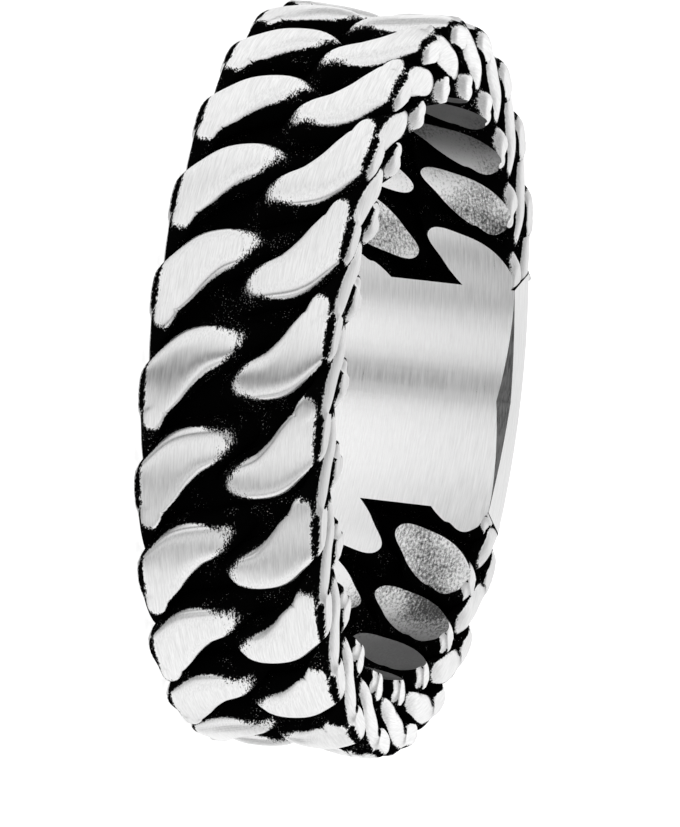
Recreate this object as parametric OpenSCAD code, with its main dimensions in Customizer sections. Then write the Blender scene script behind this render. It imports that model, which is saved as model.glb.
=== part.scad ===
/* [Band] */
// Inside diameter, which is the finger size
inside_d = 20; // [17:0.5:24]
// Thickness of the band from the bore to the crown of a link
band_t = 2.8; // [2.6:0.05:3.4]
// Width of the band, measured along the finger
band_w = 6.6; // [6.2:0.1:8]

/* [Links] */
// Rough distance from one link to the next, round the crown of the band
link_pitch = 3.5; // [3.3:0.05:4.2]
// Clearance left between the strands of neighbouring links
link_gap = 0.06; // [0.04:0.01:0.2]

/* [Back plate] */
// Length of the plate, measured round the bore
plate_length = 8; // [6:0.5:9]
// Distance that the plate's outside lies below the crown of the links
plate_drop = 0.3; // [0.1:0.05:0.5]
// Radius of the plate's two long outer edges
plate_round = 0.9; // [0.3:0.05:1.2]
// Depth of the bevel on the plate's inner edges, halfway along the plate
plate_bevel = 0.4; // [0.2:0.05:0.6]

/* [Hidden] */
bore_r = inside_d / 2;
crown_r = bore_r + band_t;
half_w = band_w / 2;

// Link places in a full turn, an odd number so that the plate has a place at its middle
places = 2 * floor(PI * crown_r / link_pitch) + 1;
place_a = 360 / places;
place_arc = 2 * PI * crown_r / places;

// Two strands lie side by side in a place, on the slant, and two lie one above the other in the band
slant_share = 0.532;
strand_w = slant_share * place_arc - link_gap;
strand_t = (band_t - link_gap) / 2;
// A leaf is made deeper than it shows, and the bore cuts it flush
leaf_t = strand_t + 0.12 * band_t;
strand_sides = 10;
roundness = 2.4;

plate_a = plate_length / bore_r * 180 / PI;
plate_r = crown_r - plate_drop;
// How far the soldered strands run into the plate's ends, as a share of a place
root_share = 0.12;
bore_facets = 144;

// One strand of a link, from its bead on the finger side of the upper rim to its tail in the lower rim.
// A link is this strand and the same strand turned half a turn about the link's middle.
// turn: places round the ring from the link's middle. side: share of half the width, the lower rim is -1.
// rise: the strand's skin above the bore, as a share of band_t. width: share of strand_w.
// depth: share of leaf_t before the middle row, of strand_t from it on. lean: 0 faces out, 1 faces the rim.
// flare: how much wider the skin is than the middle of the strand, and its back narrower, as a share.
STRAND = [
//   turn   side    rise  width depth lean   flare
    [-1.72,  0.90,  0.24, 0.40, 0.42, 0,        0],
    [-1.63,  0.83,  0.33, 0.74, 0.70, 0,      0.1],
    [-1.48,  0.76,  0.40, 1.06, 0.90, 0,     0.15],
    [-1.28,  0.60,  0.44, 1.20, 1.00, 0,      0.2],
    [-1.10,  0.42,  0.45, 1.12, 0.98, 0,     0.25],
    [-0.95,  0.25,  0.45, 0.72, 0.94, 0,     0.15],
    [-0.85,  0.12,  0.54, 0.58, 0.80, 0,      0.1],
    [-0.77,  0.00,  0.72, 0.70, 0.80, 0,     -0.1],
    [-0.68, -0.16,  0.94, 0.86, 0.94, 0,     -0.2],
    [-0.56, -0.44,  1.00, 1.02, 0.98, 0,     -0.2],
    [-0.38, -0.62,  1.00, 1.00, 0.88, 0,     -0.1],
    [-0.18, -0.78,  0.99, 0.98, 0.76, 0.1,      0],
    [ 0.02, -0.90,  0.91, 0.80, 0.66, 0.46,     0],
    [ 0.14, -0.965, 0.85, 0.66, 0.57, 0.72,     0],
    [ 0.26, -0.98, 0.645, 0.52, 0.48, 0.9,      0],
    [ 0.54, -0.99,  0.50, 0.40, 0.42, 1,        0],
    [ 0.82, -0.99,  0.38, 0.34, 0.38, 1,        0],
    [ 1.34, -0.87,  0.20, 0.24, 0.32, 1,        0],
];
rows = len(STRAND);
// The row where the strand crosses the middle of the band
middle_row = len([for (row = STRAND) if (row[1] > 0) row]);

function unit(v) = v / norm(v);
function power(v, e) = sign(v) * pow(abs(v), e);
function outward(row) = [cos(row[0] * place_a), sin(row[0] * place_a), 0];
// The way that the strand's skin faces at a row
function facing(row) = unit((1 - row[5]) * outward(row) + [0, 0, -row[5]]);
function skin(row) = outward(row) * (bore_r + row[2] * band_t) + [0, 0, row[1] * half_w];
function depth(i) = STRAND[i][4] * (i < middle_row ? leaf_t : strand_t);
function centre(i) = skin(STRAND[i]) - facing(STRAND[i]) * depth(i) / 2;

// The strand's section at row i, a rounded oblong square to the strand's run
function section(i) =
    let (
        run = unit(centre(min(i + 1, rows - 1)) - centre(max(i - 1, 0))),
        across = unit(cross(facing(STRAND[i]), run)),
        up = cross(run, across),
        half_width = STRAND[i][3] * strand_w / 2,
        half_depth = depth(i) / 2,
        flare = STRAND[i][6]
    )
    [for (s = [0 : strand_sides - 1])
        let (
            a = (s + 0.5) * 360 / strand_sides,
            x = power(cos(a), 2 / roundness),
            y = power(sin(a), 2 / roundness)
        )
        centre(i) + across * half_width * x * (1 + flare * y) + up * half_depth * y];

// How far a link reaches from its middle, in places
link_reach = max([for (i = [0 : rows - 1], p = section(i)) abs(atan2(p[1], p[0]))]) / place_a;
// Places at the back whose links reach the plate, and so are one with it. One is at the plate's middle.
plate_places = 2 * floor(plate_a / place_a / 2 + link_reach) + 1;
free_links = places - plate_places;

// A closed skin over a list of rings, each ring a list of as many points
module sweep(rings) {
    sides = len(rings[0]);
    last = len(rings) - 1;
    walls = [for (i = [0 : last - 1], s = [0 : sides - 1])
        let (a = i * sides + s, b = i * sides + (s + 1) % sides)
        each [[a, b + sides, b], [a, a + sides, b + sides]]];
    first_cap = [for (s = [0 : sides - 1]) s];
    last_cap = [for (s = [sides - 1 : -1 : 0]) last * sides + s];
    polyhedron([for (ring = rings) each ring], concat([first_cap], walls, [last_cap]), convexity = 6);
}

module strand(first = 0, last = rows - 1) {
    sweep([for (i = [first : last]) section(i)]);
}

// A whole link about the +X direction, its leaves still running into the bore
module raw_link() {
    strand();
    rotate([180, 0, 0]) strand();
}

module bore() {
    translate([0, 0, -band_w]) cylinder(r = bore_r, h = 2 * band_w, $fn = bore_facets);
}

// Link number i, counted round the ring from the one beside the plate
module link(i) {
    color("silver") translate([0, 0, half_w])
        rotate(180 + (i + (plate_places - 1) / 2) * place_a) difference() {
            raw_link();
            bore();
        }
}

// Section of the plate with rounded outer edges, from inside the bore
module plate_section() {
    inner = bore_r - 0.1 * band_t;
    translate([inner, -half_w]) square([plate_r - plate_round - inner, band_w]);
    translate([inner, plate_round - half_w]) square([plate_r - inner, band_w - 2 * plate_round]);
    for (s = [-1, 1])
        translate([plate_r - plate_round, s * (half_w - plate_round)]) circle(plate_round, $fn = 48);
}

// A section turned round the band, along the plate but for a small part of a place at each of its ends
module along_plate(short = 0) {
    swing = plate_a - 2 * short * place_a;
    rotate(-swing / 2) rotate_extrude(angle = swing, $fn = bore_facets) children();
}

// The first end of the plate: strands of the links that are one with it, as far as they stand clear of it.
// A strand's last row that shows is followed by one that is well inside the plate.
module plate_end() {
    reach = plate_a / place_a / 2 - root_share;
    difference() {
        for (k = [(1 - plate_places) / 2 : 0]) rotate(k * place_a) {
            before = [for (i = [0 : rows - 1]) if (k + STRAND[i][0] < -reach) i];
            after = [for (i = [0 : rows - 1]) if (k - STRAND[i][0] < -reach) i];
            if (len(before) > 1) strand(0, min(max(before) + 1, rows - 1));
            if (len(after) > 1) rotate([180, 0, 0]) strand(max(min(after) - 1, 0), rows - 1);
        }
        along_plate(root_share) translate([bore_r - band_t, -band_w]) square([3 * band_t, 2 * band_w]);
    }
}

// A wedge along the plate's upper inner edge, deepest halfway along the plate
module edge_bevel() {
    steps = 16;
    over = 0.1;
    sweep([for (i = [0 : steps])
        let (
            t = 2 * i / steps - 1,
            a = t * plate_a / 2,
            d = plate_bevel * (1 - abs(t)) + 0.01,
            o = [cos(a), sin(a), 0]
        )
        [o * (bore_r - over) + [0, 0, half_w - d - over], o * (bore_r - over) + [0, 0, half_w + over],
            o * (bore_r + d + over) + [0, 0, half_w + over]]]);
}

module back_plate() {
    color("silver") translate([0, 0, half_w]) rotate(180) difference() {
        union() {
            along_plate() plate_section();
            plate_end();
            rotate([180, 0, 0]) plate_end();
        }
        bore();
        for (turned = [0, 180]) rotate([turned, 0, 0]) edge_bevel();
    }
}

back_plate();
for (i = [1 : free_links])
    link(i);
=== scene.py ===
"""The looks of the chain link ring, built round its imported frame. Metres, +Z up, the ring lies on z = 0."""

import math

import bpy
import numpy as np
from mathutils import Matrix, Vector
from mathutils.kdtree import KDTree


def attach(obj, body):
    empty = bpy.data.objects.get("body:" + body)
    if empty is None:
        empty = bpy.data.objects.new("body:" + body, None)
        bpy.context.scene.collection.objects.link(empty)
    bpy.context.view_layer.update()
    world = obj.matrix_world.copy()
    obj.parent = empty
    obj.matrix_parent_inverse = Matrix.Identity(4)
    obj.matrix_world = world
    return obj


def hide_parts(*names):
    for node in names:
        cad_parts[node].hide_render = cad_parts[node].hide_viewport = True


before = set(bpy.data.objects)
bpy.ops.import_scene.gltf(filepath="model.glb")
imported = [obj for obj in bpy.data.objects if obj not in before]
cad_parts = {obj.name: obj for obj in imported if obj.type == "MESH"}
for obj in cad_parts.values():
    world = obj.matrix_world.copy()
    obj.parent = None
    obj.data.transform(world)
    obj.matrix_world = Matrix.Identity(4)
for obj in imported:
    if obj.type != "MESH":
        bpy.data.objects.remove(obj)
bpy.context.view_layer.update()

# Driving sizes, the same as in the part's source
MM = 0.001
BORE_R = 10 * MM
BAND_T = 2.8 * MM
BAND_W = 6.6 * MM
PLACES = 23
PLATE_PLACES = 7
LINK_GAP = 0.06 * MM
PLATE_LENGTH = 8 * MM
PLATE_DROP = 0.3 * MM
PLATE_ROUND = 0.9 * MM
PLATE_BEVEL = 0.4 * MM
# How sharply the bevel swells towards its middle, its depth at its ends, and how far its cutter overlaps
BEVEL_POWER = 1.6
BEVEL_END = 0.01 * MM
BEVEL_SPARE = 0.1 * MM
# Two strands lie side by side in a place on the slant: the share of the place that one takes
SLANT_SHARE = 0.532
# Depth that the bore cuts off the leaves and off the plate, as shares of BAND_T
LEAF_SPARE = 0.12
PLATE_SPARE = 0.1
# How far the soldered strands run into the plate's ends, as a share of a place
ROOT_SHARE = 0.12
# How far the worn skin stays inside the crown and the rims of the solids, and the plate inside its own
SKIN = 0.02 * MM
PLATE_SKIN = 0.001 * MM

# Worked out from them
CROWN_R = BORE_R + BAND_T
HALF_W = BAND_W / 2
PLACE_A = 2 * math.pi / PLACES
FREE_LINKS = PLACES - PLATE_PLACES
STRAND_W = SLANT_SHARE * CROWN_R * PLACE_A - LINK_GAP
STRAND_T = (BAND_T - LINK_GAP) / 2
LEAF_T = STRAND_T + LEAF_SPARE * BAND_T
PLATE_A = PLATE_LENGTH / BORE_R
PLATE_R = CROWN_R - PLATE_DROP

# One strand of a link. turn: places from the link's middle. side: share of HALF_W. rise: skin above the bore,
# share of BAND_T. width: share of STRAND_W. depth: share of LEAF_T before MIDDLE_ROW, of STRAND_T from it on.
# lean: 0 faces out, 1 faces the rim. flare: widening of the skin over the strand's middle. square: how square
# the section is, 2 for an oval.
COLUMNS = ("turn", "side", "rise", "width", "depth", "lean", "flare", "square")
STRAND = (
    (-1.73, 0.90, 0.16, 0.15, 0.16, 0, 0, 2.2),
    (-1.71, 0.89, 0.235, 0.40, 0.40, 0, 0, 2.3),
    (-1.63, 0.83, 0.33, 0.74, 0.70, 0, 0.1, 2.4),
    (-1.48, 0.76, 0.40, 1.06, 0.90, 0, 0.15, 2.4),
    (-1.28, 0.60, 0.44, 1.20, 1.00, 0, 0.2, 2.4),
    (-1.10, 0.42, 0.45, 1.12, 0.98, 0, 0.25, 2.4),
    (-0.95, 0.25, 0.45, 0.72, 0.94, 0, 0.15, 2.4),
    (-0.85, 0.12, 0.54, 0.58, 0.80, 0, 0.1, 2.4),
    (-0.77, 0.00, 0.72, 0.70, 0.80, 0, -0.1, 2.6),
    (-0.68, -0.16, 0.94, 0.86, 0.94, 0, -0.2, 2.8),
    (-0.56, -0.44, 1.00, 1.02, 0.98, 0, -0.2, 2.6),
    (-0.38, -0.62, 1.00, 1.00, 0.88, 0, -0.1, 2.6),
    (-0.18, -0.78, 0.99, 0.98, 0.76, 0.1, 0, 2.6),
    (0.02, -0.90, 0.94, 0.84, 0.68, 0.35, 0, 2.6),
    (0.14, -0.95, 0.88, 0.70, 0.58, 0.6, 0, 2.5),
    (0.27, -0.98, 0.70, 0.68, 0.48, 0.88, 0, 2.4),
    (0.54, -0.99, 0.53, 0.62, 0.42, 1, 0, 2.4),
    (0.82, -0.99, 0.39, 0.52, 0.38, 1, 0, 2.4),
    (1.34, -0.87, 0.20, 0.30, 0.32, 1, 0, 2.4),
)
MIDDLE_ROW = 8
# Where the blackening is worn off: each pair is where the wear starts to change and where it is done. On a
# lobe: the rows over which it narrows to its head, how round that is and how softly it ends, the rows over
# which its tail fades, how far its skin faces outward and how far it lies from the rim's plane. On the rim's
# ground blades: their first rows, how far they face the rim and how far they lie from its plane. On a bead:
# its first and last rows and how far it faces the rim.
LOBE_HEAD = (10.5, 7.8)
HEAD_ROUND = 0.6
HEAD_FADE = (0.35, 1.0)
LOBE_TAIL = (13.8, 14.4)
LOBE_TILT = (0.42, 0.68)
LOBE_DEPTH = (0.2 * MM, 0.42 * MM)
BLADE_START = (11.0, 12.0)
BLADE_TILT = (0.6, 0.85)
BLADE_DEPTH = (0.1 * MM, 0.25 * MM)
BEAD_START = (0.2, 1.0)
BEAD_END = (3.3, 3.8)
BEAD_TILT = (0.66, 0.9)

# Painted shade: how far to the ring's two sides the bored faces of the links darken, from and to
LEAF_PAINTED_SHADE_REACH = (6.9 * MM, 8.9 * MM)

# The blackened floor that closes the recess round a strand's crossing: from and to in places from the link's
# middle, the share of HALF_W that it reaches up and down, and its underside and top as shares of BAND_T
FLOOR_TURNS = (-1.0, -0.5)
FLOOR_REACH = 0.78
FLOOR_RISES = (0.43, 0.50)

# Fineness of the meshes
STEPS = 6
SIDES = 40
BORE_FACETS = 288
PLATE_STEPS = 96
FLOOR_STEPS = 6
ROUND_STEPS = 10
BEVEL_STEPS = 48
SHARP_EDGE = math.radians(38)

# How far round the band one link's grain is shifted from the next one's
GRAIN_SHIFT = 10 * MM
# Grains of the steel, in cycles a millimetre round the band, along its axis and outward
LINK_STREAKS = (1.1, 20, 20)
LINK_HAIRS = (2.5, 45, 45)
LINK_RAGGED = (1.6, 12, 12)
LINK_SPECKS = (14, 22, 22)
LEAF_PITS = (7, 11, 11)
LEAF_STREAKS = (1.4, 16, 16)
LEAF_PATCHES = (0.3, 0.3, 0.3)
PLATE_STREAKS = (0.9, 18, 18)
PLATE_HAIRS = (2.2, 42, 42)
GLINTS = (20, 20, 20)
GLINT_CLUSTERS = (1.2, 1.2, 1.2)
# From and to which sum of streaks and hairs brushed steel goes from its darkest to its lightest
BRUSH_RANGE = (0.4, 1.2)
# Greys of a link's worn faces, darkest and lightest, and the least grey towards their edges, partly polish
# and partly a painted highlight for the thin bright line that light draws along their rounded edges
LINK_GREYS = (0.6, 0.84)
EDGE_POLISH_AND_HIGHLIGHT_GREY = 0.76
# From and to which sum of their marks the leaves go from their darkest grey to their lightest, those greys,
# and how much of them the painted shade leaves at the ring's two sides
LEAF_RANGE = (2.1, 3.0)
LEAF_GREYS = (0.08, 1.0)
LEAF_SHADE = 0.15
# Colour of the blackened recesses
BLACK = (0.0012, 0.0012, 0.0012)
# How much of the worn faces' shading normal is a lathe's, and from and to how far out they face for that
LATHE_SHARE = 0.8
LATHE_TILT = (0.45, 0.95)

# The photograph's view: where the camera stands, and how far its aim is off the ring's middle
CAMERA_AZIMUTH = math.radians(0.783)
CAMERA_ELEVATION = math.radians(16.139)
CAMERA_ROLL = math.radians(96.497)
CAMERA_DISTANCE = 463.8 * MM
CAMERA_LENS = 589.7
AIM_RIGHT = 0.0505 * MM
AIM_UP = -1.165 * MM
CAMERA_CLIP = (10 * MM, 10.0)

# Brightness of the studio round the ring, by the angle from the camera's side: bright panels with gaps
STUDIO = (
    (-180, 1.4), (-165, 1.2), (-150, 0.7), (-135, 0.9), (-110, 1.3), (-72, 1.3), (-64, 1.2), (-57, 0.6),
    (-50, 1.2), (-42, 0.7), (-34, 1.7), (-10, 1.8), (-3, 0.7), (3, 0.0), (7, 0.1), (13, 0.9), (18, 1.2),
    (30, 1.2), (39, 0.1), (48, 1.0), (52, 1.0), (60, 0.1), (69, 1.1), (110, 1.3), (135, 0.9), (150, 0.7),
    (165, 1.2), (180, 1.4),
)
# The studio's strength, how much less it is at its top and bottom, and where that starts and ends, as the
# height of a ray
STUDIO_LIGHT = 1.25
STUDIO_DIM = (0.55, 0.45, 0.95)
# The pale floor: how far it reaches each way, its grey and its own glow
STAGE_REACH = 3.0
STAGE_GREY = 0.6
STAGE_GLOW = 0.8


def smooth(x, low, high):
    """0 below low, 1 above high, and an even S between them."""
    t = np.clip((x - low) / (high - low), 0, 1)
    return t * t * (3 - 2 * t)


def unit(v):
    return v / np.linalg.norm(v, axis=-1, keepdims=True)


def power(v, e):
    return np.sign(v) * np.abs(v) ** e


def through(rows, steps):
    """Catmull-Rom through the rows, with steps between each two."""
    rows = np.array(rows, float)
    ends = np.vstack([rows[:1], rows, rows[-1:]])
    found = []
    for p0, p1, p2, p3 in zip(ends, ends[1:], ends[2:], ends[3:]):
        for t in np.arange(steps) / steps:
            bend = (2 * p0 - 5 * p1 + 4 * p2 - p3) * t**2 + (3 * p1 - p0 - 3 * p2 + p3) * t**3
            found.append(0.5 * (2 * p1 + (p2 - p0) * t + bend))
    found.append(rows[-1])
    return np.array(found)


def strand_grid():
    """One strand about the +X direction, centred on z = 0: a grid of points, sections by sides, with the row
    number of each and its place across its section, from -1 to 1."""
    table = np.array(STRAND, float)
    thick = np.where(np.arange(len(table)) < MIDDLE_ROW, LEAF_T, STRAND_T)
    table[:, COLUMNS.index("depth")] *= thick
    rows = through(table, STEPS)
    turn, side, rise, width, depth, lean, flare, square = (rows[:, i, None] for i in range(len(COLUMNS)))
    flat = np.zeros_like(turn)
    outward = np.hstack([np.cos(turn * PLACE_A), np.sin(turn * PLACE_A), flat])
    facing = unit((1 - lean) * outward + np.hstack([flat, flat, -lean]))
    skin = outward * (BORE_R + rise * BAND_T) + np.hstack([flat, flat, side * HALF_W])
    centre = skin - facing * depth / 2
    run = unit(np.gradient(centre, axis=0))
    across = unit(np.cross(facing, run))
    up = np.cross(run, across)
    s = (np.arange(SIDES) + 0.5) * 2 * math.pi / SIDES
    x = power(np.cos(s), 2 / square)
    y = power(np.sin(s), 2 / square)
    wide = (width * STRAND_W / 2 * x * (1 + flare * y))[..., None]
    tall = (depth / 2 * y)[..., None]
    points = centre[:, None] + across[:, None] * wide + up[:, None] * tall
    row = np.repeat((np.arange(len(rows)) / STEPS)[:, None], SIDES, axis=1)
    return inside_band(points), row, x


def inside_band(points):
    """Points pulled in to the crown and to the rims, where the real links are ground flush."""
    r = np.hypot(points[..., 0], points[..., 1])
    points[..., :2] *= (np.minimum(r, CROWN_R - SKIN) / r)[..., None]
    points[..., 2] = np.clip(points[..., 2], SKIN - HALF_W, HALF_W - SKIN)
    return points


def worn_share(points, row, x):
    """How far the blackening is worn off a strand: 1 on its ground faces, 0 in its recesses."""
    around = np.roll(points, -1, axis=1) - np.roll(points, 1, axis=1)
    normal = unit(np.cross(around, np.gradient(points, axis=0)))
    outward = unit(points * (1, 1, 0))
    facing_out = (normal * outward).sum(axis=-1)
    facing_up = normal[..., 2]
    below = HALF_W - np.abs(points[..., 2])
    head = np.maximum(LOBE_HEAD[0] - row, 0) / (LOBE_HEAD[0] - LOBE_HEAD[1])
    lobe = (1 - smooth(head * (1 + HEAD_ROUND * x**2), *HEAD_FADE)) * (1 - smooth(row, *LOBE_TAIL))
    lobe = lobe * smooth(facing_out, *LOBE_TILT) * smooth(below, *LOBE_DEPTH)
    blade = smooth(row, *BLADE_START) * smooth(-facing_up, *BLADE_TILT) * (1 - smooth(below, *BLADE_DEPTH))
    bead = smooth(row, *BEAD_START) * (1 - smooth(row, *BEAD_END)) * smooth(facing_up, *BEAD_TILT)
    return np.maximum(np.maximum(lobe, blade), bead)


def turned(points, angle, over=False):
    """Points turned round the band's axis, first put upside down if over."""
    x, y, z = points[..., 0], points[..., 1], points[..., 2]
    if over:
        y, z = -y, -z
    c, s = math.cos(angle), math.sin(angle)
    return np.stack([c * x - s * y, s * x + c * y, z], axis=-1)


def sweep(sections, sides):
    """Faces of a closed skin over a grid of points, with its two end caps."""
    faces = []
    for i in range(sections - 1):
        for j in range(sides):
            k = (j + 1) % sides
            faces.append((i * sides + j, i * sides + k, (i + 1) * sides + k, (i + 1) * sides + j))
    faces.append(tuple(range(sides - 1, -1, -1)))
    faces.append(tuple((sections - 1) * sides + j for j in range(sides)))
    return faces


def solid(name, grid, *materials):
    """An object with a closed skin over a grid of points. Its faces take the first material."""
    mesh = bpy.data.meshes.new(name)
    mesh.from_pydata([tuple(p) for p in grid.reshape(-1, 3)], [], sweep(*grid.shape[:2]))
    for material in materials:
        mesh.materials.append(material)
    mesh.update()
    made = bpy.data.objects.new(name, mesh)
    bpy.context.scene.collection.objects.link(made)
    return made


def combine(base, other, operation):
    """Adds the other object to base or cuts it away. Cut faces take the cutter's material."""
    modifier = base.modifiers.new("combine", "BOOLEAN")
    modifier.operation = operation
    modifier.solver = "MANIFOLD"
    modifier.material_mode = "TRANSFER"
    modifier.object = other
    seen = base.evaluated_get(bpy.context.evaluated_depsgraph_get())
    mesh = bpy.data.meshes.new_from_object(seen)
    base.modifiers.clear()
    base.data = mesh
    bpy.data.objects.remove(other)


def band_grid(section, first, last, steps):
    """A section of (radius, height) points turned round the band's axis from one angle to another."""
    angles = np.linspace(last, first, steps + 1)[:, None]
    r, z = np.array(section).T
    return np.stack([np.cos(angles) * r, np.sin(angles) * r, np.ones_like(angles) * z], axis=-1)


def band_box(low, high, reach):
    """Section of a block between two radii that reaches as far up as down."""
    return [(low, -reach), (high, -reach), (high, reach), (low, reach)]


def bore(material):
    """The finger hole as a cutter."""
    angles = np.arange(BORE_FACETS) * 2 * math.pi / BORE_FACETS
    ring = np.stack([BORE_R * np.cos(angles), BORE_R * np.sin(angles)], axis=-1)
    heights = np.array([-BAND_W, BAND_W])
    grid = np.array([np.hstack([ring, np.full((BORE_FACETS, 1), h)]) for h in heights])
    return solid("bore", grid, material)


def make_strand(name, angle, over, *materials):
    """A strand with the floor of its recess, turned to its place."""
    made = solid(name, turned(strand_grid()[0], angle, over), *materials)
    low, high = (BORE_R + rise * BAND_T for rise in FLOOR_RISES)
    first, last = (turn * PLACE_A for turn in FLOOR_TURNS)
    floor = band_grid(band_box(low, high, FLOOR_REACH * HALF_W), first, last, FLOOR_STEPS)
    combine(made, solid("floor", turned(floor, angle, over), *materials), "UNION")
    return made


def make_link():
    """One link about the +X direction: two strands fused end to end and bored flush on the finger side."""
    made = make_strand("link", 0, False, LINK, LEAF)
    combine(made, make_strand("strand", 0, True, LINK, LEAF), "UNION")
    combine(made, bore(LEAF), "DIFFERENCE")
    return made


def plate_section():
    """Section of the plate as (radius, height) points, with round outer edges, from inside the bore."""
    inner = BORE_R - PLATE_SPARE * BAND_T
    rim = HALF_W - PLATE_SKIN
    corner = PLATE_R - PLATE_SKIN - PLATE_ROUND
    quarter = np.linspace(0, math.pi / 2, ROUND_STEPS + 1)
    upper = [(corner + PLATE_ROUND * math.cos(a), rim - PLATE_ROUND * (1 - math.sin(a))) for a in quarter]
    lower = [(r, -z) for r, z in reversed(upper)]
    return [(inner, -rim)] + lower + upper + [(inner, rim)]


def edge_bevel(over, material):
    """A cutter along one of the plate's inner edges, deepest halfway along the plate."""
    t = np.linspace(-1, 1, BEVEL_STEPS + 1)[:, None, None]
    depth = PLATE_BEVEL * (1 - np.abs(t)) ** BEVEL_POWER + BEVEL_END
    outward = np.concatenate([np.cos(t * PLATE_A / 2), np.sin(t * PLATE_A / 2), np.zeros_like(t)], axis=-1)
    up = np.array([0, 0, 1.0])
    grid = np.concatenate(
        [
            outward * (BORE_R - BEVEL_SPARE) + up * (HALF_W - depth - BEVEL_SPARE),
            outward * (BORE_R - BEVEL_SPARE) + up * (HALF_W + BEVEL_SPARE),
            outward * (BORE_R + depth + BEVEL_SPARE) + up * (HALF_W + BEVEL_SPARE),
        ],
        axis=1,
    )
    return solid("bevel", turned(grid, 0, over), material)


def roughen_leaves(mesh):
    """Gives the leaves' steel to the bored faces that aren't one with the plate's face, which is about +X."""
    slots = list(mesh.materials)
    bored = [p for p in mesh.polygons if p.material_index == slots.index(FACE)]
    beside = {}
    for polygon in bored:
        for edge in polygon.edge_keys:
            beside.setdefault(edge, []).append(polygon)
    middle = min(bored, key=lambda p: (p.center - Vector((BORE_R, 0, 0))).length)
    reached = {middle.index}
    waiting = [middle]
    while waiting:
        for edge in waiting.pop().edge_keys:
            for polygon in beside[edge]:
                if polygon.index not in reached:
                    reached.add(polygon.index)
                    waiting.append(polygon)
    for polygon in bored:
        if polygon.index not in reached:
            polygon.material_index = slots.index(LEAF)


def make_plate():
    """The back plate about the +X direction, one body with the strands of its own links at both ends."""
    points = strand_grid()[0]
    reach = PLATE_A / 2 - ROOT_SHARE * PLACE_A
    strands = None
    for k in range(-(PLATE_PLACES // 2), PLATE_PLACES // 2 + 1):
        for over in (False, True):
            grid = turned(points, k * PLACE_A, over)
            if np.abs(np.arctan2(grid[..., 1], grid[..., 0])).max() < PLATE_A / 2:
                continue
            strand = make_strand("back_plate_steel", k * PLACE_A, over, *PLATE_STEELS)
            if strands is None:
                strands = strand
            else:
                combine(strands, strand, "UNION")
    clear = band_grid(band_box(BORE_R - BAND_T, CROWN_R + BAND_T, BAND_W), -reach, reach, PLATE_STEPS)
    combine(strands, solid("clear", clear, PLATE), "DIFFERENCE")
    plate = band_grid(plate_section(), -PLATE_A / 2, PLATE_A / 2, PLATE_STEPS)
    plate = solid("plate", plate, PLATE, RECESS)
    for end in plate.data.polygons[-2:]:
        end.material_index = 1
    combine(strands, plate, "UNION")
    combine(strands, bore(FACE), "DIFFERENCE")
    roughen_leaves(strands.data)
    # Bevels cut along the plate's inner edges; their cut faces take the plate's steel darkened with painted
    # shade
    for over in (False, True):
        combine(strands, edge_bevel(over, SHADED_BEVEL), "DIFFERENCE")
    return strands


def finish_skin(made, middles):
    """Shading and wear of a mesh about the +X direction, from the strands of the links at these places."""
    grid, row, x = strand_grid()
    worn = worn_share(grid, row, x).ravel()
    strands = [turned(grid, k * PLACE_A, over).reshape(-1, 3) for k in middles for over in (False, True)]
    tree = KDTree(len(strands) * worn.size)
    for i, point in enumerate(np.vstack(strands)):
        tree.insert(point, i)
    tree.balance()
    mesh = made.data
    mesh.validate()
    points = np.array([tuple(v.co) for v in mesh.vertices])
    nearest = [worn[tree.find(p)[1] % worn.size] for p in points]
    mesh.attributes.new("worn", "FLOAT", "POINT").data.foreach_set("value", nearest)
    mesh.polygons.foreach_set("use_smooth", [True] * len(mesh.polygons))
    mesh.set_sharp_from_angle(angle=SHARP_EDGE)
    mesh.update()
    return points


def place(made, points, angle, number):
    """Turns a mesh about the +X direction to its place, on the floor, and gives it its grain: millimetres
    round the band, along its axis and from the axis, with a shift that keeps the links' grains apart."""
    mesh = made.data
    r = np.hypot(points[:, 0], points[:, 1])
    around = np.arctan2(points[:, 1], points[:, 0]) * r + number * GRAIN_SHIFT
    grain = np.stack([around, points[:, 2], r], axis=-1) / MM
    mesh.attributes.new("grain", "FLOAT_VECTOR", "POINT").data.foreach_set("vector", grain.ravel())
    mesh.transform(Matrix.Translation((0, 0, HALF_W)) @ Matrix.Rotation(angle, 4, "Z"))
    mesh.update()


def add_node(tree, kind, inputs, **settings):
    """A shader node with its settings, each input linked to a socket or set to a value."""
    made = tree.nodes.new("ShaderNode" + kind)
    for name, value in settings.items():
        setattr(made, name, value)
    for socket, value in inputs.items():
        if isinstance(value, bpy.types.NodeSocket):
            tree.links.new(value, made.inputs[socket])
        else:
            made.inputs[socket].default_value = value
    return made


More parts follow.
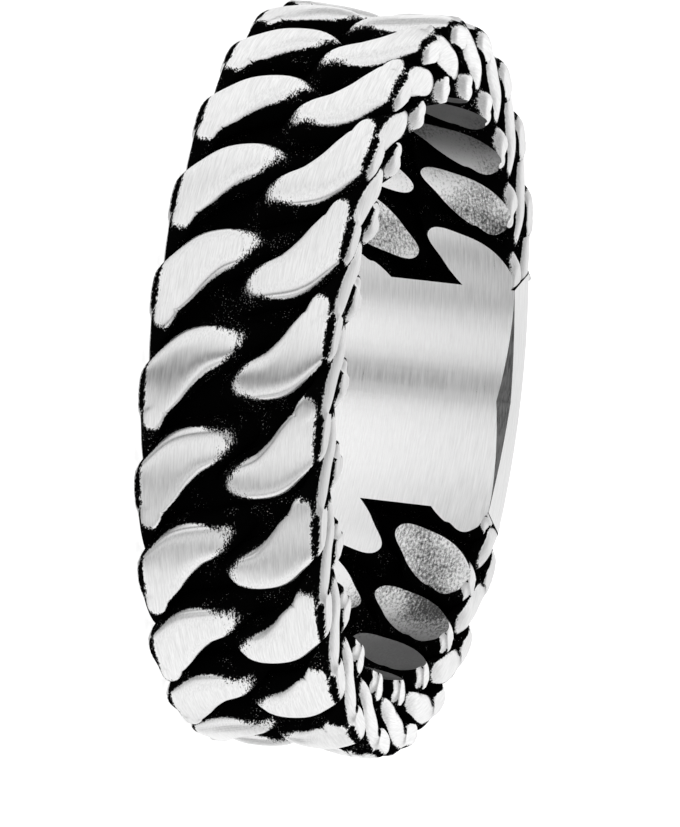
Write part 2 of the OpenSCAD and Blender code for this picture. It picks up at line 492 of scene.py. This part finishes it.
class Shader:
    """A material's node tree, with short calls for the nodes that it is made of."""

    def __init__(self, name):
        self.material = bpy.data.materials.new(name)
        self.material.use_nodes = True
        self.tree = self.material.node_tree
        self.surface = self.tree.nodes["Principled BSDF"]

    def node(self, kind, inputs, **settings):
        return add_node(self.tree, kind, inputs, **settings)

    def math(self, operation, a, b=0.0):
        return self.node("Math", {0: a, 1: b}, operation=operation).outputs[0]

    def vector(self, operation, a, b=(0, 0, 0)):
        return self.node("VectorMath", {0: a, 1: b}, operation=operation).outputs[0]

    def attribute(self, name, output):
        return self.node("Attribute", {}, attribute_name=name).outputs[output]

    def between(self, value, low, high, first=0.0, last=1.0):
        inputs = {"Value": value, "From Min": low, "From Max": high, "To Min": first, "To Max": last}
        return self.node("MapRange", inputs, interpolation_type="SMOOTHSTEP").outputs[0]

    def noise(self, stretch, detail=2.0, roughness=0.5):
        """Noise along the grain, its cycles a millimetre given round the band, along its axis and outward."""
        scaled = self.vector("MULTIPLY", self.grain, stretch)
        inputs = {"Vector": scaled, "Scale": 1.0, "Detail": detail, "Roughness": roughness}
        return self.node("TexNoise", inputs).outputs["Fac"]

    def mix_colour(self, share, a, b):
        made = self.node("Mix", {"Factor": share}, data_type="RGBA")
        for socket, value in ((made.inputs[6], a), (made.inputs[7], b)):
            if isinstance(value, bpy.types.NodeSocket):
                self.tree.links.new(value, socket)
            else:
                socket.default_value = (*value, 1)
        return made.outputs[2]

    def grey(self, value):
        return self.node("CombineColor", {0: value, 1: value, 2: value}).outputs[0]

    def set(self, **values):
        for name, value in values.items():
            socket = self.surface.inputs[name.replace("_", " ")]
            if isinstance(value, bpy.types.NodeSocket):
                self.tree.links.new(value, socket)
            else:
                socket.default_value = value

    def position(self, axis):
        place = self.node("NewGeometry", {})
        return self.node("SeparateXYZ", {0: place.outputs["Position"]}).outputs[axis]

    def brush(self):
        """Grain and the direction across it, square to the surface and to the way round the band."""
        self.grain = self.attribute("grain", "Vector")
        position = self.node("NewGeometry", {})
        around = self.vector("CROSS_PRODUCT", (0, 0, 1), position.outputs["Position"])
        across = self.vector("CROSS_PRODUCT", around, position.outputs["Normal"])
        self.set(Tangent=self.vector("NORMALIZE", across))

    def turned_normal(self):
        """The normal, drawn towards a lathe's where the skin faces away from the axis."""
        place = self.node("NewGeometry", {})
        radial = self.vector("NORMALIZE", self.vector("MULTIPLY", place.outputs["Position"], (1, 1, 0)))
        made = self.node("VectorMath", {0: radial, 1: place.outputs["Normal"]}, operation="DOT_PRODUCT")
        drawn = self.between(made.outputs["Value"], *LATHE_TILT, 0.0, LATHE_SHARE)
        mixed = self.node("Mix", {"Factor": drawn}, data_type="VECTOR")
        self.tree.links.new(place.outputs["Normal"], mixed.inputs[4])
        self.tree.links.new(radial, mixed.inputs[5])
        return self.vector("NORMALIZE", mixed.outputs[1])

    def bump(self, height, strength, distance, **more):
        made = self.node("Bump", {"Height": height, "Strength": strength, "Distance": distance, **more})
        self.set(Normal=made.outputs[0])


def link_steel():
    """Brushed steel on the worn faces, with a ragged edge to the black of the recesses."""
    s = Shader("link_steel_worn")
    s.brush()
    streaks = s.noise(LINK_STREAKS, 3)
    hairs = s.noise(LINK_HAIRS, 2)
    ragged = s.noise(LINK_RAGGED, 4, 0.7)
    specks = s.noise(LINK_SPECKS, 3, 0.6)
    edge = s.math("ADD", s.math("MULTIPLY", ragged, 0.9), s.math("MULTIPLY", specks, 1.1))
    worn = s.math("ADD", s.attribute("worn", "Fac"), s.math("SUBTRACT", edge, 1.0))
    bright = s.between(worn, 0.4, 0.6)
    clusters = s.between(s.noise(GLINT_CLUSTERS, 1), 0.52, 0.62)
    glints = s.math("MULTIPLY", s.between(s.noise(GLINTS, 1), 0.68, 0.74), clusters)
    share = s.math("MAXIMUM", bright, s.math("MULTIPLY", glints, 0.5))
    tone = s.between(s.math("ADD", streaks, s.math("MULTIPLY", hairs, 0.6)), *BRUSH_RANGE, *LINK_GREYS)
    # Lighter towards the edges of the worn faces: partly polish, partly a painted highlight of the bright
    # edge line
    tone = s.math("MAXIMUM", tone, s.between(s.attribute("worn", "Fac"), 0.7, 0.95, EDGE_POLISH_AND_HIGHLIGHT_GREY, 0.0))
    s.set(Base_Color=s.mix_colour(share, BLACK, s.grey(tone)), Metallic=share)
    s.set(Roughness=s.between(streaks, 0.2, 0.8, 0.28, 0.38), Anisotropic=0.85, Specular_IOR_Level=0.0)
    scratches = s.math("ADD", streaks, s.math("MULTIPLY", hairs, 0.5))
    s.bump(scratches, 0.2, 0.004 * MM, Normal=s.turned_normal())
    return s.material


def leaf_steel():
    """Rough steel of the links' inner faces, speckled with pits, with painted shade towards the ring's two
    sides.
    """
    s = Shader("leaf_steel_rough")
    s.brush()
    pits = s.noise(LEAF_PITS, 4, 0.75)
    streaks = s.noise(LEAF_STREAKS, 3)
    patches = s.noise(LEAF_PATCHES, 2)
    marks = s.math("ADD", s.math("MULTIPLY", pits, 2.6), s.math("MULTIPLY", streaks, 0.4))
    tone = s.math("ADD", marks, s.math("MULTIPLY", patches, 2.6))
    bare = s.between(tone, *LEAF_RANGE, *LEAF_GREYS)
    aside = s.math("ABSOLUTE", s.position("Y"))
    # Painted shade towards the ring's two sides, for the dark inside of the ring that these faces reflect
    painted_shade = s.between(aside, *LEAF_PAINTED_SHADE_REACH, 1.0, LEAF_SHADE)
    s.set(Base_Color=s.grey(s.math("MULTIPLY", bare, painted_shade)), Metallic=1.0)
    s.set(Roughness=s.between(pits, 0.3, 0.7, 0.4, 0.6), Anisotropic=0.5)
    s.bump(pits, 0.4, 0.02 * MM)
    return s.material


def plate_steel(name, low, high, roughness):
    """Bright steel brushed round the band, between two greys."""
    s = Shader(name)
    s.brush()
    streaks = s.noise(PLATE_STREAKS, 3)
    hairs = s.noise(PLATE_HAIRS, 2)
    tone = s.between(s.math("ADD", streaks, s.math("MULTIPLY", hairs, 0.6)), *BRUSH_RANGE, low, high)
    s.set(Base_Color=s.grey(tone), Metallic=1.0)
    s.set(Roughness=s.between(streaks, 0.2, 0.8, roughness - 0.06, roughness + 0.08), Anisotropic=0.8)
    s.bump(s.math("ADD", streaks, s.math("MULTIPLY", hairs, 0.5)), 0.2, 0.005 * MM)
    return s.material


def recess_black():
    """Blackened steel of the plate's ends, with a few bright glints."""
    s = Shader("recess_black")
    s.brush()
    glints = s.between(s.noise(GLINTS, 1), 0.72, 0.78)
    s.set(Base_Color=s.mix_colour(glints, BLACK, (0.4, 0.4, 0.4)), Metallic=glints)
    s.set(Roughness=0.6, Specular_IOR_Level=0.0)
    return s.material


def make_camera():
    data = bpy.data.cameras.new("camera")
    data.lens = CAMERA_LENS
    data.clip_start, data.clip_end = CAMERA_CLIP
    camera = bpy.data.objects.new("camera", data)
    bpy.context.scene.collection.objects.link(camera)
    cos_e, sin_e = math.cos(CAMERA_ELEVATION), math.sin(CAMERA_ELEVATION)
    back = Vector((math.cos(CAMERA_AZIMUTH) * cos_e, math.sin(CAMERA_AZIMUTH) * cos_e, sin_e))
    level = Vector((-math.sin(CAMERA_AZIMUTH), math.cos(CAMERA_AZIMUTH), 0))
    rise = back.cross(level)
    right = level * math.cos(CAMERA_ROLL) + rise * math.sin(CAMERA_ROLL)
    up = rise * math.cos(CAMERA_ROLL) - level * math.sin(CAMERA_ROLL)
    middle = Vector((0, 0, HALF_W))
    location = middle + back * CAMERA_DISTANCE
    back = (location - (middle + right * AIM_RIGHT + up * AIM_UP)).normalized()
    right = up.cross(back).normalized()
    up = back.cross(right)
    turn = Matrix((right, up, back)).transposed()
    camera.matrix_world = Matrix.Translation(location) @ turn.to_4x4()
    bpy.context.scene.camera = camera


def fill_ramp(ramp):
    """Gives a colour ramp the studio's brightness by the angle."""
    ramp.interpolation = "B_SPLINE"
    stops = ramp.elements
    while len(stops) > 1:
        stops.remove(stops[-1])
    for i, (degrees, brightness) in enumerate(STUDIO):
        stop = stops[0] if i == 0 else stops.new((degrees + 180) / 360)
        stop.color = (brightness, brightness, brightness, 1)


def make_studio():
    """Bright panels with soft gaps all round, dimmer overhead."""
    world = bpy.data.worlds.new("studio")
    bpy.context.scene.world = world
    world.use_nodes = True
    tree = world.node_tree
    spot = add_node(tree, "TexCoord", {})
    axes = add_node(tree, "SeparateXYZ", {0: spot.outputs["Generated"]})
    angle = add_node(tree, "Math", {0: axes.outputs["Y"], 1: axes.outputs["X"]}, operation="ARCTAN2")
    turn = {"Value": angle.outputs[0], "From Min": -math.pi, "From Max": math.pi}
    ramp = add_node(tree, "ValToRGB", {0: add_node(tree, "MapRange", turn).outputs[0]})
    fill_ramp(ramp.color_ramp)
    height = add_node(tree, "Math", {0: axes.outputs["Z"]}, operation="ABSOLUTE")
    less, start, end = STUDIO_DIM
    dimming = {
        "Value": height.outputs[0],
        "From Min": start,
        "From Max": end,
        "To Min": STUDIO_LIGHT,
        "To Max": STUDIO_LIGHT * (1 - less),
    }
    dim = add_node(tree, "MapRange", dimming, interpolation_type="SMOOTHSTEP")
    backdrop = tree.nodes["Background"]
    tree.links.new(dim.outputs[0], backdrop.inputs["Strength"])
    tree.links.new(ramp.outputs[0], backdrop.inputs["Color"])
    bpy.context.scene.view_settings.view_transform = "Standard"


def make_floor():
    """A pale floor under the ring."""
    mesh = bpy.data.meshes.new("floor")
    corners = [(x * STAGE_REACH, y * STAGE_REACH, 0) for x, y in ((-1, -1), (1, -1), (1, 1), (-1, 1))]
    mesh.from_pydata(corners, [], [(0, 1, 2, 3)])
    floor = bpy.data.objects.new("floor", mesh)
    bpy.context.scene.collection.objects.link(floor)
    s = Shader("pale_floor")
    s.set(Base_Color=(STAGE_GREY, STAGE_GREY, STAGE_GREY, 1), Roughness=1.0, Specular_IOR_Level=0.0)
    s.set(Emission_Color=(1, 1, 1, 1), Emission_Strength=STAGE_GLOW)
    mesh.materials.append(s.material)
    floor.visible_glossy = False


LINK = link_steel()
LEAF = leaf_steel()
RECESS = recess_black()
FACE = plate_steel("plate_face_brushed", low=0.78, high=1.0, roughness=0.33)
PLATE = plate_steel("plate_steel_brushed", low=0.7, high=0.92, roughness=0.38)
# The bevels' steel is a darker copy of the plate's: painted shade for the shadowed facets along its inner
# edges
SHADED_BEVEL = plate_steel("plate_bevel_painted_shade", low=0.1, high=0.3, roughness=0.3)
PLATE_STEELS = (LINK, FACE, PLATE, SHADED_BEVEL, RECESS, LEAF)

make_camera()
make_studio()
make_floor()

link = make_link()
skin = finish_skin(link, [0])
for number in range(1, FREE_LINKS + 1):
    node = f"link_{number:02d}"
    piece = bpy.data.objects.new(node + "_steel", link.data.copy())
    bpy.context.scene.collection.objects.link(piece)
    place(piece, skin, math.pi + (number + PLATE_PLACES // 2) * PLACE_A, number)
    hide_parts(node)
    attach(piece, "root")
bpy.data.objects.remove(link)

plate = make_plate()
skin = finish_skin(plate, range(-(PLATE_PLACES // 2), PLATE_PLACES // 2 + 1))
place(plate, skin, math.pi, 0)
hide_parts("back_plate")
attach(plate, "root")
